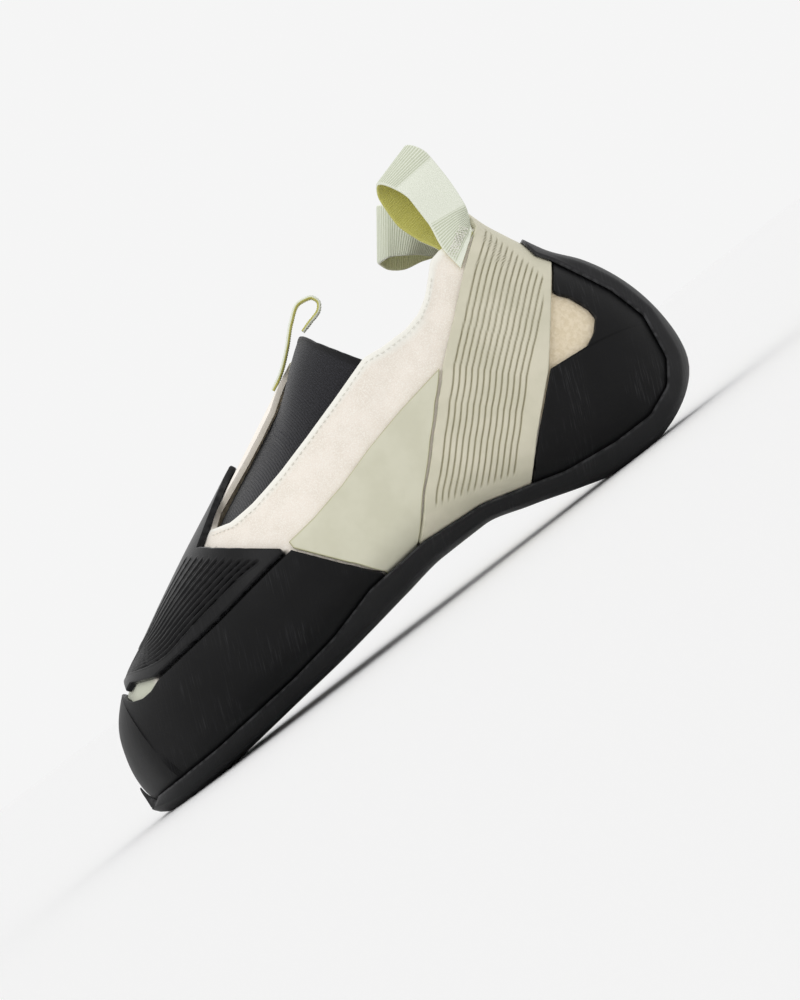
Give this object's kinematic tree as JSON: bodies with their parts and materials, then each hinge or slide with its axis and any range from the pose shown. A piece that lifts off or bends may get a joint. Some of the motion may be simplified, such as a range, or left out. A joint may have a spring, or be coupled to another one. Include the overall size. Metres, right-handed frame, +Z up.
{
  "type": "climbing shoe",
  "caption": "Left climbing shoe, a slip-on with a stretch gore, grooved heel strap, toe patch and cupped rubber sole with raised arch.",
  "frame": {"origin": "middle of the shoe's box, on the floor under its sole", "axes": "+X from toe to heel, -Y towards the outer side, +Z up"},
  "size_m": [0.255, 0.0924, 0.1379],
  "materials": {
    "cream_suede": "soft nap",
    "rand_rubber": "satin",
    "toe_rubber": "satin, grooved",
    "sage_microfibre": "matt",
    "strap_rubber": "matt, grooved",
    "heel_rubber": "satin",
    "gore_knit": "stretch knit",
    "insole_board": "matt",
    "sole_rubber": "satin",
    "webbing": "ribbed weave"
  },
  "bodies": {
    "root": {"upper": "cream_suede", "rand": "rand_rubber", "toe_patch": "toe_rubber", "side_panel_lateral": "sage_microfibre", "side_panel_medial": "sage_microfibre", "strap": "strap_rubber", "heel_cup": "heel_rubber", "gore": "gore_knit", "insole": "insole_board", "outsole": "sole_rubber", "front_pull_loop": "webbing", "heel_pull_loop_lateral": "webbing", "heel_pull_loop_medial": "webbing"}
  },
  "joints": []
}
